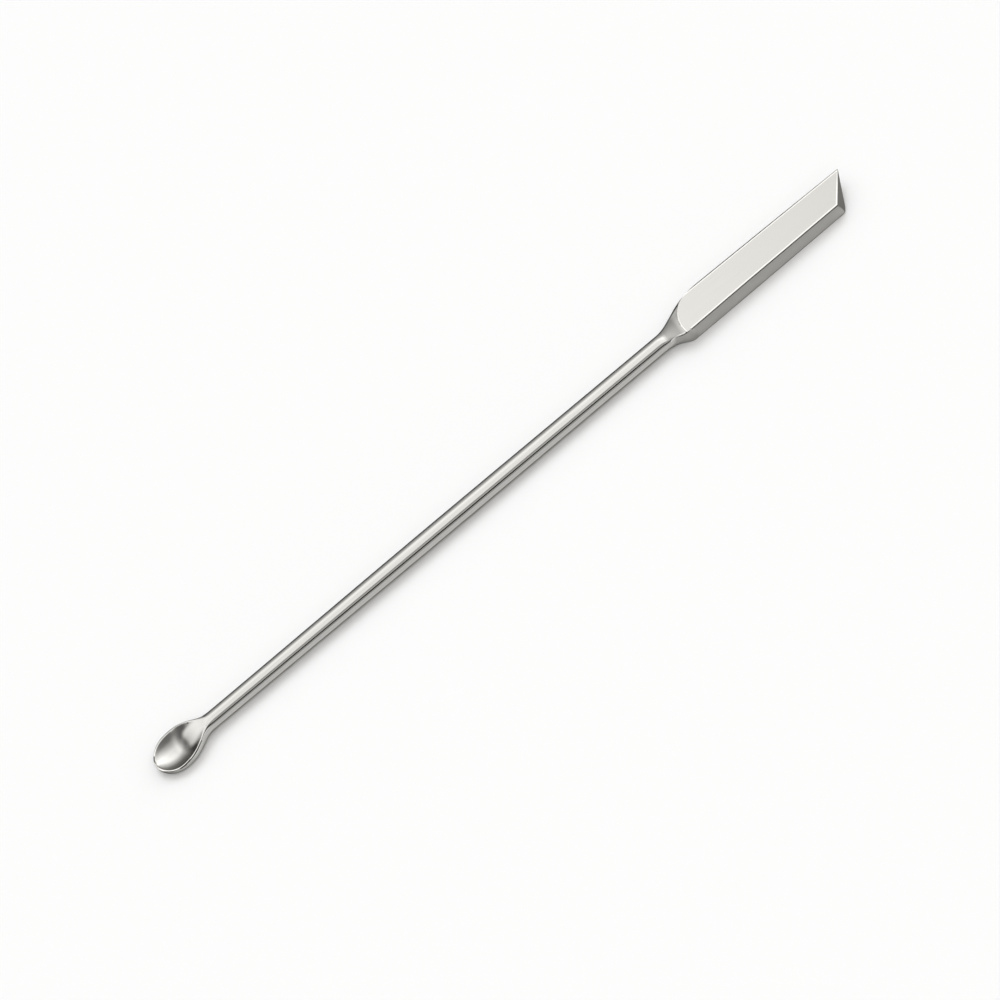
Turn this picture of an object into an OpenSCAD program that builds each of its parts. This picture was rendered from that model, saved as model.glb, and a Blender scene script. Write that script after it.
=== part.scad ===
// Laboratory spatula: a round rod drawn out at one end into a small oval
// spoon and forged flat at the other into a thick blade with a skew-cut tip.
// Axes: +X from the spoon to the blade, +Z up as it lies on a bench, +Y the
// side that carries the long corner of the blade. All sizes in millimetres.

/* [Whole] */
// Length from the spoon's nose to the point of the blade
overall_l = 150; // [120:1:200]

/* [Rod] */
// Diameter at the middle, the thickest place
rod_mid_d = 3.25; // [2.6:0.05:4]
// Diameter where the spoon's neck begins
rod_spoon_d = 2.95; // [2.4:0.05:3.6]
// Diameter where the blade's neck begins
rod_blade_d = 3.1; // [2.4:0.05:3.8]

/* [Spoon] */
// Width over the rim, outside
spoon_w = 7.05; // [5:0.05:9]
// Length from the nose to the round rod
spoon_l = 11.4; // [9.5:0.1:15]
// Distance from the nose to the widest place
spoon_wide_at = 4.2; // [3:0.1:5.5]
// Thickness of the rim
rim_t = 0.25; // [0.2:0.01:0.5]
// Floor thickness under the deepest place
spoon_floor = 0.5; // [0.35:0.01:0.9]
// Height of the rim above the rod's axis at the nose
rim_nose_z = 0.15; // [0.05:0.01:0.5]
// Distance from the nose to the deepest place of the hollow
hollow_deep_at = 3.5; // [2.5:0.1:4.5]
// Distance from the nose to the back of the bowl, where the ramp starts
hollow_back_at = 6.6; // [5:0.1:7.5]
// Length of the tongue that the ramp draws out along the top of the rod
tongue_l = 1.2; // [0.6:0.1:2.5]

/* [Blade] */
// Length of the flat top, from its rounded root to the point
blade_l = 36.6; // [28:0.1:50]
// Height of the flat top above the bench at its root
blade_root_h = 3.43; // [3.25:0.01:4]
// Height of the flat top above the bench at the point
blade_tip_h = 3.2; // [2.4:0.01:3.6]
// Width from the rod's axis to the short side, at the root
short_side_root = 2.67; // [2:0.01:3.5]
// Width from the rod's axis to the short side, at the tip
short_side_tip = 2.4; // [1.8:0.01:3.5]
// Width from the rod's axis to the long side, at the root
long_side_root = 3.8; // [2.5:0.01:5]
// Width from the rod's axis to the long side, at the tip
long_side_tip = 3.25; // [2.2:0.01:5]

/* [Blade neck] */
// Length of the neck from the round rod to the root of the flat top
neck_l = 4.8; // [4:0.1:8]
// Length of the neck that stays narrow on the short side, and of its widening
short_flank_from = 2.2; // [0:0.1:2.5]
// Length over which the neck widens on the short side
short_flank_l = 3.1; // [2.5:0.1:6]
// Length over which the neck widens on the long side
long_flank_l = 7.8; // [6:0.1:12]
// Depth of the saddle pinched into the top of the neck
saddle_depth = 0.3; // [0:0.01:0.4]
// Offset of the neck's crest from the rod's axis towards the short side
crest_shift = 1.3; // [0:0.05:1.8]
// Slope of the neck where it rises to the flat top, degrees
saddle_rise = 24; // [10:0.5:28]

/* [Blade tip] */
// Angle of the skew cut across the tip, degrees
skew_angle = 36.9; // [20:0.5:50]
// Backward lean of the end face, so that its foot stands further out, degrees
end_lean = 8; // [0:0.5:15]
// Length of the ground bevel under the point, along the long side
bevel_l = 9; // [6:0.1:15]
// Radius on the bottom corner of the end face
end_corner_r = 0.7; // [0.3:0.05:1.4]

/* [Hidden] */

steel = [0.74, 0.73, 0.71];
$fn = 64;

// Points round a lofted section, and the steps along each loft
ring_n = 48;
hollow_n = 40;
nose_steps = 9;
spoon_steps = 18;
neck_steps = 10;
arc_steps = 14;
flank_steps = 5;
blade_steps = 5;
rod_steps = 16;

axis_z = rod_mid_d / 2;
nose_x = -overall_l / 2;
point_x = overall_l / 2;
rod_spoon_r = rod_spoon_d / 2;
rod_mid_r = rod_mid_d / 2;
rod_blade_r = rod_blade_d / 2;

// A loft starts this far inside the rod, and this much thinner than it
seat_l = 0.6;
seat_gap = 0.01;
// Overshoots of a loft past the planes that trim it, and the size of a trimming
// block, which outreaches the whole blade
trim = 0.15;
over = 1;
block = blade_l + neck_l;

// Exponent of a section: 2 is an ellipse, more is squarer
round_exp = 2;
rim_exp = 14;
bowl_exp = 4.5;
bowl_dish_exp = 2.1;
ramp_dish_exp = 4.5;
edge_exp = 24;

// Where the blade's neck and flat begin, from the middle of the rod
flat_x = point_x - blade_l;
neck_x = flat_x - neck_l;
rod_x = nose_x + spoon_l + tongue_l;

// 0 before a, 1 after b, and a smooth S between them
function ease(v, a, b) =
    let (t = min(1, max(0, (v - a) / (b - a)))) t * t * (3 - 2 * t);
function mix(a, b, t) = a + (b - a) * t;
// Turns a section from round to square at an even rate
function mix_exp(a, b, t) = 1 / mix(1 / a, 1 / b, t);

// One point of a section at an angle round it. The quadrants have reaches of
// their own (short side, long side, top, bottom), from the axis or from a crest
// beside it, and exponents of their own (top short, top long, bottom).
function section_point(a, reach, exps) =
    let (
        c = cos(a),
        s = sin(a),
        e = s < 0 ? exps[2] : c < 0 ? exps[0] : exps[1],
        y = (c < 0 ? -reach[0] : reach[1]) * pow(abs(c), 2 / e),
        z = (s < 0 ? -reach[3] : reach[2]) * pow(abs(s), 2 / e)
    ) [y, z];
function section(x, reach, exps, crest_y = 0) =
    [for (i = [0 : ring_n - 1])
        let (p = section_point(360 * i / ring_n, reach, exps))
        [x, crest_y + p[0], axis_z + p[1]]];

// Skins a list of convex sections that all have the same number of points. The
// caps fan out from each section's last point.
module loft(rings) {
    n = len(rings[0]);
    last = (len(rings) - 1) * n;
    sides = [for (r = [0 : len(rings) - 2], i = [0 : n - 1])
        let (a = r * n + i, b = r * n + (i + 1) % n)
        each [[a, b + n, b], [a, a + n, b + n]]];
    caps = [for (i = [0 : n - 3])
        each [[n - 1, i, i + 1], [last + n - 1, last + i + 1, last + i]]];
    polyhedron(points = [for (r = rings) each r], faces = concat(caps, sides));
}

// Rod -------------------------------------------------------------------

// Radius of the rod along its length, swelling a little to the middle
function rod_r(x) =
    let (
        mid_x = (rod_x + neck_x) / 2,
        near_spoon = x < mid_x,
        end_r = near_spoon ? rod_spoon_r : rod_blade_r,
        t = near_spoon ? ease(x, rod_x, mid_x) : ease(-x, -neck_x, -mid_x)
    ) mix(end_r, rod_mid_r, t);

module rod() {
    stations = [for (i = [0 : rod_steps]) mix(rod_x, neck_x, i / rod_steps)];
    translate([0, 0, axis_z]) rotate([0, 90, 0])
        rotate_extrude()
            polygon(concat([[0, rod_x]],
                           [for (x = stations) [rod_r(x), x]],
                           [[0, neck_x]]));
}

// Spoon -----------------------------------------------------------------

// Places along the spoon, from the nose: where the rim starts to rise, where
// it starts to turn round, and where the belly starts to rise to the rod
rim_rise_from = spoon_l * 0.12;
rim_round_from = spoon_l * 0.74;
belly_rise_from = spoon_wide_at * 1.3;
hollow_end = spoon_l + tongue_l;
// The nose is blunt, this wide and this deep below the axis
nose_half_w = 0.2;
nose_depth = axis_z * 0.32;
// Fullness of the outline at the nose (0.5 is an ellipse), and lateness of the
// waist behind the widest place (1 is even)
nose_full = 0.58;
waist_late = 1.4;
// Lateness of the rim's rise (1 is even)
rim_late = 1.2;
keel_exp = 3;

// Half width of an outline ahead of its widest place, t from there to its end
function nose_half(w, t) = w * pow(max(0, 1 - t * t), nose_full);

// Half width outside, u along from the nose
function spoon_half_w(u) =
    u < spoon_wide_at
        ? nose_half(spoon_w / 2, 1 - u / spoon_wide_at)
        : let (
            t = min(1, (u - spoon_wide_at) / (spoon_l - spoon_wide_at)),
            s = (1 + cos(180 * pow(t, waist_late))) / 2
        ) mix(rod_spoon_r - seat_gap, spoon_w / 2, s);
// Height of the rim above the axis
function rim_z(u) =
    mix(rim_nose_z, rod_spoon_r - seat_gap,
        pow(ease(u, rim_rise_from, spoon_l), rim_late));
// Depth of the outside below the axis
function spoon_depth(u) =
    u < spoon_wide_at
        ? let (t = 1 - u / spoon_wide_at)
            mix(nose_depth, axis_z, sqrt(max(0, 1 - pow(t, keel_exp))))
        : mix(axis_z, rod_spoon_r - seat_gap, ease(u, belly_rise_from, spoon_l));

function spoon_ring(u) =
    let (
        w = max(nose_half_w, spoon_half_w(u)),
        top_exp = mix_exp(rim_exp, round_exp, ease(u, rim_round_from, hollow_end)),
        low_exp = mix_exp(bowl_exp, round_exp, ease(u, spoon_wide_at, spoon_l))
    ) section(nose_x + u, [w, w, rim_z(u), spoon_depth(u)], [top_exp, top_exp, low_exp]);

// Steps that crowd together towards the nose, where the outline turns fastest
function nose_step(i, n, from, to) = mix(from, to, 1 - cos(90 * i / n));

module spoon_body() {
    nose = [for (i = [0 : nose_steps - 1]) nose_step(i, nose_steps, 0, spoon_wide_at)];
    back = [for (i = [0 : spoon_steps]) mix(spoon_wide_at, spoon_l, i / spoon_steps)];
    ends = [spoon_l + tongue_l / 2, hollow_end, hollow_end + seat_l];
    loft([for (u = concat(nose, back, ends)) spoon_ring(u)]);
}

// The hollow is a bowl whose back wall steepens up to a soft corner, and a ramp
// from there that eases up onto the top of the rod. The exponents shape its
// three slopes along the spoon (1 is straight).
front_exp = 2;
back_exp = 2.2;
ramp_exp = 1.9;
back_wall = 40;
corner_soft = 0.06;
run_out = 0.06;
dish_square_from = hollow_back_at * 0.9;
dish_square_at = spoon_l * 0.75;
hollow_top = rod_mid_d + over;
hollow_bottom = spoon_floor - axis_z;
back_z = hollow_bottom + tan(back_wall) / back_exp * (hollow_back_at - hollow_deep_at);
function ramp_z(u) =
    let (t = (hollow_end - u) / (hollow_end - hollow_back_at))
    mix(rod_spoon_r + run_out, back_z, pow(min(1, max(0, t)), ramp_exp));
function bowl_z(u) =
    hollow_bottom + (back_z - hollow_bottom)
        * pow((u - hollow_deep_at) / (hollow_back_at - hollow_deep_at), back_exp);
// The lower of two heights, with the corner between them rounded over r
function soft_min(a, b, r) = (a + b - sqrt(pow(a - b, 2) + r * r)) / 2;
function hollow_z(u) =
    u < hollow_deep_at
        ? let (t = (hollow_deep_at - u) / (hollow_deep_at - rim_t))
            mix(hollow_bottom, rim_z(u) - rim_t / 2, pow(t, front_exp))
        : soft_min(bowl_z(u), ramp_z(u), corner_soft);
function hollow_half_w(u) =
    u < spoon_wide_at
        ? nose_half(spoon_w / 2 - rim_t, (spoon_wide_at - u) / (spoon_wide_at - rim_t))
        : spoon_half_w(u) - rim_t;
// A section of the hollow dishes down from rim to rim and is open above
function hollow_ring(u) =
    let (
        w = max(nose_half_w / 2, hollow_half_w(u)),
        low = hollow_z(u),
        rise = max(seat_gap, rim_z(u) - low),
        dish_exp = mix(bowl_dish_exp, ramp_dish_exp,
                       ease(u, dish_square_from, dish_square_at)),
        bottom = [for (i = [0 : hollow_n])
            let (t = 2 * i / hollow_n - 1)
            [nose_x + u, w * t, axis_z + low + rise * pow(abs(t), dish_exp)]],
        top = [for (side = [1, -1]) [nose_x + u, side * w, hollow_top]]
    ) concat(bottom, top);

module spoon_hollow() {
    nose = [for (i = [0 : nose_steps - 1])
        nose_step(i, nose_steps, rim_t, spoon_wide_at)];
    back = [for (i = [0 : spoon_steps]) mix(spoon_wide_at, hollow_end, i / spoon_steps)];
    loft([for (u = concat(nose, back)) hollow_ring(u)]);
}

module spoon() {
    difference() {
        spoon_body();
        spoon_hollow();
    }
}

// Blade -----------------------------------------------------------------

// Places along the neck: bottom of the saddle, where the short side's top edge
// starts and is sharp, and where the bottom edges are sharp
saddle_x = neck_x + neck_l * 0.42;
crease_x = neck_x + neck_l * 0.1;
crease_end_x = flat_x - neck_l * 0.12;
foot_end_x = flat_x + neck_l * 0.25;

// Crown of the untrimmed neck above the axis: it sinks into a saddle, then
// climbs through the level of the flat and away above it
flat_z = blade_root_h - axis_z;
saddle_z = rod_blade_r - seat_gap - saddle_depth;
crown_max = 7;
crown_curve = 0.07;
function crown_z(x) =
    let (d = x - flat_x)
    x < saddle_x ? mix(rod_blade_r - seat_gap, saddle_z, ease(x, neck_x, saddle_x))
    : x < flat_x
        ? let (t = (x - saddle_x) / (flat_x - saddle_x), rise = flat_z - saddle_z,
               k = tan(saddle_rise) * (flat_x - saddle_x))
          saddle_z + (3 * rise - k) * t * t + (k - 2 * rise) * t * t * t
    : min(crown_max, flat_z + tan(saddle_rise) * d + crown_curve * d * d);

// Reach of the sides from the axis, narrowing faster towards the tip
taper_exp = 1.5;
function side_y(x, root, tip) =
    mix(root, tip, pow(max(0, (x - flat_x) / blade_l), taper_exp));
function short_y(x) =
    mix(rod_blade_r - seat_gap, side_y(x, short_side_root, short_side_tip),
        ease(x, neck_x + short_flank_from, neck_x + short_flank_from + short_flank_l));
function long_y(x) =
    mix(rod_blade_r - seat_gap, side_y(x, long_side_root, long_side_tip),
        ease(x, neck_x, neck_x + long_flank_l));
function blade_depth(x) =
    mix(rod_blade_r - seat_gap, axis_z + trim, ease(x, neck_x, flat_x));

function blade_ring(x) =
    let (
        top_short = mix_exp(round_exp, edge_exp, ease(x, crease_x, crease_end_x)),
        low = mix_exp(round_exp, edge_exp, ease(x, neck_x, foot_end_x)),
        c = crest_shift * ease(x, neck_x, flat_x)
    ) section(x, [short_y(x) - c, long_y(x) + c, crown_z(x), blade_depth(x)],
              [top_short, round_exp, low], -c);

// Stations: close together where the crown crosses the flat and draws its arc
arc_x = flat_x - trim * 2;
arc_end_x = flat_x + long_flank_l * 0.45;
flank_end_x = max(arc_end_x, neck_x + long_flank_l) + neck_l;
neck_stations = concat(
    [for (i = [0 : neck_steps - 1]) mix(neck_x, arc_x, i / neck_steps)],
    [for (i = [0 : arc_steps - 1]) mix(arc_x, arc_end_x, i / arc_steps)],
    [for (i = [0 : flank_steps]) mix(arc_end_x, flank_end_x, i / flank_steps)]);
blade_stations = [for (i = [1 : blade_steps]) mix(flank_end_x, point_x, i / blade_steps)];

module blade_body() {
    stations = concat([neck_x - seat_l], neck_stations, blade_stations, [point_x + over]);
    loft([for (x = stations) blade_ring(x)]);
}

// The long side leans in a little, so its top edge lies inside its full reach
tip_corner_y = (long_side_tip + crest_shift)
    * sqrt(1 - pow((blade_tip_h - axis_z) / crown_max, 2)) - crest_shift;

// Everything above the flat top, which falls slightly towards the point
module above_flat() {
    fall = atan((blade_root_h - blade_tip_h) / blade_l);
    translate([flat_x, 0, blade_root_h]) rotate([0, fall, 0])
        translate([-neck_l, -block / 2, 0]) cube([blade_l + block, block, block]);
}

// Everything below the bench
module below_bench() {
    translate([neck_x, -block / 2, -block]) cube([blade_l + block, block, block]);
}

// Everything beyond the skew, leaning end face
module beyond_end() {
    translate([point_x, tip_corner_y, blade_tip_h])
        rotate([0, 0, -skew_angle]) rotate([0, -end_lean, 0])
            translate([0, -block / 2, -block / 2]) cube(block);
}

// Foot of the end face at the short side, where the bevel starts
tip_w = short_side_tip + tip_corner_y;
foot_x = point_x - tip_w * tan(skew_angle)
    + blade_tip_h * tan(end_lean) / cos(skew_angle);

// The bevel's plane goes through the foot, the long bottom edge and the point
module under_bevel() {
    run = [point_x - bevel_l - foot_x, tip_w];
    heading = atan2(run[1], run[0]);
    to_point = [point_x - foot_x, tip_w];
    out = (to_point[0] * run[1] - to_point[1] * run[0]) / norm(run);
    tilt = atan(blade_tip_h / out);
    translate([foot_x, -short_side_tip, 0])
        rotate([0, 0, heading]) rotate([-tilt, 0, 0])
            translate([-block / 2, -block, -block]) cube(block);
}

// The corner between the end face and the bottom, outside a quarter round
module end_corner() {
    r = end_corner_r;
    translate([foot_x, -short_side_tip, 0]) rotate([0, 0, -skew_angle])
        difference() {
            translate([-r, -block / 2, -over]) cube([r + over, block, r + over]);
            translate([-r, 0, r]) rotate([90, 0, 0])
                cylinder(r = r, h = block + over, center = true);
        }
}

module blade() {
    difference() {
        blade_body();
        above_flat();
        below_bench();
        beyond_end();
        under_bevel();
        end_corner();
    }
}

// The spoon is widest on the short side and the blade on the long side, so the
// rod lies a little to one side of the middle of the whole
long_reach = max([for (x = neck_stations) long_y(x)]);
centre_y = (spoon_w / 2 - long_reach) / 2;

module spatula() {
    color(steel) translate([0, centre_y, 0]) union() {
        rod();
        spoon();
        blade();
    }
}

spatula();
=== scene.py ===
# %% [markdown]
# # A laboratory spatula in stainless steel
#
# One bar of steel, nothing else: a round rod, drawn out at one end into a small oval spoon and
# forged flat at the other into a thick blade whose end is cut off on the skew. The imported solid
# gives its sizes and its place. This lesson skins it again with even quads, so that the light
# runs along it without facets, and then gives it steel, a bench and a soft studio.

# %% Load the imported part
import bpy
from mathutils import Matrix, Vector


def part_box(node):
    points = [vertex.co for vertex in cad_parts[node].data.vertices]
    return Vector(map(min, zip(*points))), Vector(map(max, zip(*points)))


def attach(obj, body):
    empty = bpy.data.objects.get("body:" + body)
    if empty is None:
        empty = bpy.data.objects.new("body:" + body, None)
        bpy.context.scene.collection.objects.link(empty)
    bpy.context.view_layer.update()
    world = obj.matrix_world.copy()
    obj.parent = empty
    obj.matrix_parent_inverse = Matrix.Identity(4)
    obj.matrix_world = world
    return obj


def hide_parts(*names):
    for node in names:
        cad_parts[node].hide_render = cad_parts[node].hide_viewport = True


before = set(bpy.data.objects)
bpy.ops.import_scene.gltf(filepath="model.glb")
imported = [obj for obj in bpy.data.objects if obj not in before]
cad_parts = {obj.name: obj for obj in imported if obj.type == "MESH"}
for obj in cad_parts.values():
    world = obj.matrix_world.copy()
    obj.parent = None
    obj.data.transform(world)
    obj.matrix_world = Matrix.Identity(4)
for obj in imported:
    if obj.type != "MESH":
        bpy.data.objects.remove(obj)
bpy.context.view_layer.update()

import math

import bmesh
import bpy
import numpy as np
from mathutils import Matrix, Vector

low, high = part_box("spatula")
print("solid, mm:", [round((b - a) * 1000, 2) for a, b in zip(low, high)])

# %% [markdown]
# ## The bar's own sizes
#
# A drawing for the smith would give few sizes, in millimetres, and the rest follows from them.
# They repeat the solid's, because the skin has to lie on it: the boxes of the solid and of the
# finished skin are both printed. The sizes of the whole bar come first, and each part's own
# sizes stand where that part is drawn.

# %% Sizes of the whole bar
MM = 0.001
NOSE_X, POINT_X = low.x / MM, high.x / MM
ROD_MID_R, ROD_SPOON_R, ROD_BLADE_R = 1.625, 1.475, 1.55
SPOON_W, SPOON_L, TONGUE_L = 7.05, 11.4, 1.2
BLADE_L, NECK_L = 36.6, 4.8

HOLLOW_END = SPOON_L + TONGUE_L
ROD_X = NOSE_X + HOLLOW_END
FLAT_X = POINT_X - BLADE_L
NECK_X = FLAT_X - NECK_L
AXIS_Y, AXIS_Z = low.y / MM + SPOON_W / 2, ROD_MID_R
print("rod axis, mm: y %.3f z %.3f, rod from x %.1f to %.1f" % (AXIS_Y, AXIS_Z, ROD_X, NECK_X))

# %% [markdown]
# Between two parts nothing jumps: a size goes over from one value to the next along an S curve.
# The exponents of the outlines below are blended by their inverses, because 14 and 24 look
# alike while 2 and 3 do not.

# %% Going over from one size to another
def ease(v, a, b):
    """0 up to a, 1 from b on, and a smooth S between them."""
    t = np.clip((v - a) / (b - a), 0.0, 1.0)
    return t * t * (3 - 2 * t)


def mix(a, b, t):
    return a + (b - a) * t


def mix_exp(a, b, t):
    return 1 / mix(1 / a, 1 / b, t)


print("halfway from a circle to a square: exponent %.2f" % mix_exp(2, 24, 0.5))

# %% [markdown]
# ## A section's outline
#
# Every cut across the bar is a closed curve that lies between a circle and a square: a
# superellipse. Its exponent is 2 where the rod is round and rises where the hammer has squared
# the steel. 64 points go round: 33 from side to side below the axis, and the rest above it.

# %% Superellipse
RING = 64
HALF = RING // 2


def curve(angle, short, long, up, down, e_short, e_long, e_low):
    """A point at this angle; short and long are the reaches to the near and the far side."""
    c, s = math.cos(angle), math.sin(angle)
    c, s = (0.0 if abs(v) < 1e-9 else v for v in (c, s))
    e = e_low if s < 0 else e_short if c < 0 else e_long
    y = (-short if c < 0 else long) * abs(c) ** (2 / e)
    z = (-down if s < 0 else up) * abs(s) ** (2 / e)
    return y, z


def angles():
    lower = [math.pi * (1 + i / HALF) for i in range(HALF + 1)]
    return lower, [math.pi * i / HALF for i in range(1, HALF)]


print("points below and above the axis:", [len(part) for part in angles()])

# %% [markdown]
# ## The spoon
#
# The spoon is pressed from the rod's end: the belly is drawn out to twice the rod's width, and a
# punch sinks the hollow. From above, the outline is an egg with its blunt end at the nose. The
# rim starts low there and climbs until it meets the top of the rod. All of it is drawn over u,
# the distance from the nose, so that each ring can be asked for its own width and heights.

# %% Spoon outline, rim and belly
WIDE_AT, RIM_T, RIM_NOSE_Z = 4.2, 0.25, 0.15
NOSE_EXP = 0.55


def nose_half(w, t):
    return w * max(0.0, 1 - t * t) ** NOSE_EXP


def spoon_half(u):
    if u < WIDE_AT:
        return nose_half(SPOON_W / 2, 1 - u / WIDE_AT)
    t = min(1.0, (u - WIDE_AT) / (SPOON_L - WIDE_AT))
    return mix(ROD_SPOON_R, SPOON_W / 2, (1 + math.cos(math.pi * t ** 1.4)) / 2)


def rim_z(u):
    return mix(RIM_NOSE_Z, ROD_SPOON_R, ease(u, SPOON_L * 0.12, SPOON_L) ** 1.2)


def belly(u):
    """How far the underside lies below the axis: it touches the bench where it is widest."""
    if u < WIDE_AT:
        return mix(AXIS_Z * 0.32, AXIS_Z, math.sqrt(max(0.0, 1 - (1 - u / WIDE_AT) ** 3)))
    return mix(AXIS_Z, ROD_SPOON_R, ease(u, WIDE_AT * 1.3, SPOON_L))


print("spoon: widest %.2f mm, rim rises %.2f mm"
      % (2 * spoon_half(WIDE_AT), rim_z(SPOON_L) - rim_z(0)))

# %% [markdown]
# The hollow has three slopes along its length: a short rise to the nose, a back wall that
# steepens to a soft corner, and a ramp that runs out as a tongue on top of the rod. Each slope is
# a power curve, which a punch leaves more truly than a straight line would.

# %% Spoon hollow
FLOOR_T, DEEP_AT, BACK_AT = 0.5, 3.5, 6.6
FRONT_EXP, BACK_EXP, RAMP_EXP = 2.0, 2.2, 1.9
BACK_SLOPE = math.tan(math.radians(40))
HOLLOW_LOW = FLOOR_T - AXIS_Z
BACK_Z = HOLLOW_LOW + BACK_SLOPE / BACK_EXP * (BACK_AT - DEEP_AT)
RAMP_TOP = ROD_SPOON_R + 0.06


def soft_min(a, b, r):
    """The lower of two heights, with their corner rounded over r."""
    return (a + b - math.sqrt((a - b) ** 2 + r * r)) / 2


def hollow_z(u):
    if u < DEEP_AT:
        t = (DEEP_AT - u) / (DEEP_AT - RIM_T)
        return mix(HOLLOW_LOW, rim_z(u) - RIM_T / 2, max(0.0, t) ** FRONT_EXP)
    bowl = HOLLOW_LOW + (BACK_Z - HOLLOW_LOW) * ((u - DEEP_AT) / (BACK_AT - DEEP_AT)) ** BACK_EXP
    t = np.clip((HOLLOW_END - u) / (HOLLOW_END - BACK_AT), 0, 1)
    return soft_min(bowl, mix(RAMP_TOP, BACK_Z, t ** RAMP_EXP), 0.08)


def hollow_half(u):
    if u < WIDE_AT:
        return nose_half(SPOON_W / 2 - RIM_T, (WIDE_AT - u) / (WIDE_AT - RIM_T))
    return spoon_half(u) - RIM_T


print("hollow: floor %.2f mm thick, back corner %.2f mm above it"
      % (FLOOR_T, hollow_z(BACK_AT) - HOLLOW_LOW))

# %% [markdown]
# Five points of a ring climb each side of the rim to its inner edge. They crowd towards the top,
# because that is where the rim turns over, and the light would show a corner there. The bar is
# never quite even: the far side of the rim is left a little thicker.

# %% Points of the rim
RIM_DEPTH, RIM_STEPS = 0.26, (1, 0.5, 0.25, 0.12, 0.05)
FAR_RIM = 0.11


def far_spread(u):
    return FAR_RIM * ease(u, RIM_T, WIDE_AT) * (1 - ease(u, WIDE_AT, SPOON_L * 0.75))


def climb(k, up, e, edge, u):
    """The angle of a side's k-th point: they keep one depth under the rim while it is square."""
    top = up * (1 - math.sin(edge) ** (2 / e))
    deep = top + (min(RIM_DEPTH, up * 0.7) - top) * RIM_STEPS[k - 1]
    square = min(math.asin((1 - deep / up) ** (e / 2)), edge * (0.5 + k / 12))
    return mix(square, edge * k / 6, ease(u, SPOON_L * 0.6, SPOON_L * 0.8))


print("far side of the rim: %.2f mm, near side: %.2f mm" % (RIM_T + far_spread(WIDE_AT), RIM_T))

# %% [markdown]
# A whole ring of the spoon is the belly's curve below, and above it the lower of two curves: the
# outside, and the hollow that the punch leaves. Twenty steps cross the hollow between the two
# sides of the rim, so the rim stays one clean line of edges from end to end.

# %% One ring of the spoon
SPREAD = math.radians(56.25)
RIM_EXP, BELLY_EXP = 14, 4.5


def spoon_top(y, u, w, up, e, cut):
    """The height above the axis: the rim's rounded top, or the hollow where that is lower."""
    z = up * max(0.0, 1 - (abs(y) / w) ** e) ** (1 / e)
    blunt = 0.1 * (1 - ease(u, SPOON_L * 0.7, SPOON_L))
    if blunt > 0.01:
        z = soft_min(z, up - blunt * (1 + (abs(y) - w) / 0.1), 0.02)
    if RIM_T < u < HOLLOW_END:
        bottom = hollow_z(u)
        dish = mix(2.1, 4.5, ease(u, BACK_AT * 0.9, SPOON_L * 0.75))
        z = soft_min(z, bottom + max(0.01, up - bottom) * (abs(y) / cut) ** dish, 0.05)
    return z


def spoon_ring(u):
    w, up, down = max(0.05, spoon_half(u)), rim_z(u), belly(u)
    e = mix_exp(RIM_EXP, 2, ease(u, SPOON_L * 0.74, HOLLOW_END))
    e_low = mix_exp(BELLY_EXP, 2, ease(u, WIDE_AT, SPOON_L))
    ring = [curve(a, w, w, up, down, e, e, e_low) for a in angles()[0]]
    cut = max(0.03, hollow_half(u)) if u > RIM_T else 0.03
    inner = mix(cut, w * math.sin(SPREAD), ease(u, SPOON_L * 0.8, HOLLOW_END))
    inner = min(inner, w * 0.97)
    edge = math.acos((inner / w) ** (e / 2))
    sides = [w * math.cos(climb(k, up, e, edge, u)) ** (2 / e) for k in range(1, 6)]
    across = [inner * math.sin(SPREAD * (10 - k) / 10) / math.sin(SPREAD) for k in range(21)]
    for y in sides + across + [-y for y in reversed(sides)]:
        ring.append((y, spoon_top(y, u, w, up, e, cut)))
    spread = far_spread(u)
    return [(y + spread * max(0.0, (y - cut) / (w - cut)) if w > cut else y, z) for y, z in ring]


print("a ring at the belly:", len(spoon_ring(WIDE_AT)), "points")

# %% [markdown]
# ## The rod, the neck and the blade
#
# The rod swells a little to its middle. At the other end the smith flattens it: the top sinks into
# a shallow saddle and then rises past the height that the flat top will be ground to. Drawing
# the steel higher than it has to be and grinding it down is how the real blade gets its flat,
# and here it gives the flat its true curved end for nothing.

# %% Rod and crown
ROOT_TOP, TIP_TOP = 3.43, 3.2
FLAT_Z = ROOT_TOP - AXIS_Z
SADDLE_X, SADDLE_Z = NECK_X + NECK_L * 0.42, ROD_BLADE_R - 0.3
CROWN_SLOPE, CROWN_MAX = math.tan(math.radians(24)), 7.0


def rod_r(x):
    mid = (ROD_X + NECK_X) / 2
    if x < mid:
        return mix(ROD_SPOON_R, ROD_MID_R, ease(x, ROD_X, mid))
    return mix(ROD_BLADE_R, ROD_MID_R, ease(-x, -NECK_X, -mid))


def crown(x):
    """The forged top above the axis: down into the saddle, then up through the flat's height."""
    if x < SADDLE_X:
        return mix(ROD_BLADE_R, SADDLE_Z, ease(x, NECK_X, SADDLE_X))
    if x < FLAT_X:
        t = (x - SADDLE_X) / (FLAT_X - SADDLE_X)
        rise, k = FLAT_Z - SADDLE_Z, CROWN_SLOPE * (FLAT_X - SADDLE_X)
        return SADDLE_Z + (3 * rise - k) * t * t + (k - 2 * rise) * t ** 3
    d = x - FLAT_X
    return min(CROWN_MAX, FLAT_Z + CROWN_SLOPE * d + 0.07 * d * d)


print("saddle %.2f mm under the rod's top, flat %.2f mm above the axis"
      % (ROD_BLADE_R - crown(SADDLE_X), crown(FLAT_X)))

# %% [markdown]
# The near side is struck square and the far side is left round, so a ring is a squared curve on
# one side and an ellipse on the other. The two sides spread by different amounts and over
# different lengths, and the crest moves off the rod's axis, so the ground flat will end in a
# curve that leans to one side. The near side is also struck a little inward at its top.

# %% One ring of the neck or the blade
SHORT_ROOT, SHORT_TIP, LONG_ROOT, LONG_TIP = 2.67, 2.4, 3.8, 3.25
CREST, NEAR_LEAN, SQUARE_EXP = 1.3, 0.22, 24


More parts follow.
